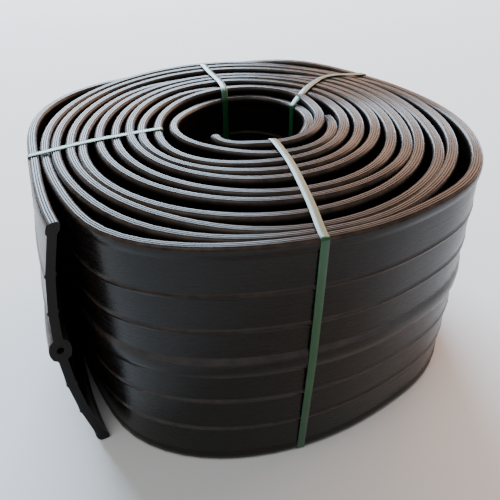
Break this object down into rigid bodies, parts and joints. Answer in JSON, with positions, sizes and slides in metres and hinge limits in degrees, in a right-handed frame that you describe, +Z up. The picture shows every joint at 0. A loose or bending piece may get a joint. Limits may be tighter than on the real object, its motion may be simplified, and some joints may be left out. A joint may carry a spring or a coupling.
{
  "type": "pvc waterstop",
  "caption": "Roll of black ribbed PVC waterstop strip with a hollow centre bulb, standing on its end and tied with flat green plastic straps.",
  "frame": {"origin": "under the middle of the roll's box, at the floor", "axes": "+Z up along the roll's axis, -Y towards the camera of the picture, +X to the picture's right"},
  "size_m": [0.5598, 0.548, 0.3022],
  "materials": {
    "black_pvc": "satin flexible PVC, extruded, with light dust and scuffs",
    "green_polypropylene": "semi-gloss polypropylene strap"
  },
  "bodies": {
    "root": {"waterstop_roll": "black_pvc", "strap_front": "green_polypropylene", "strap_left": "green_polypropylene", "strap_back_left": "green_polypropylene", "strap_back_right": "green_polypropylene"}
  },
  "joints": []
}
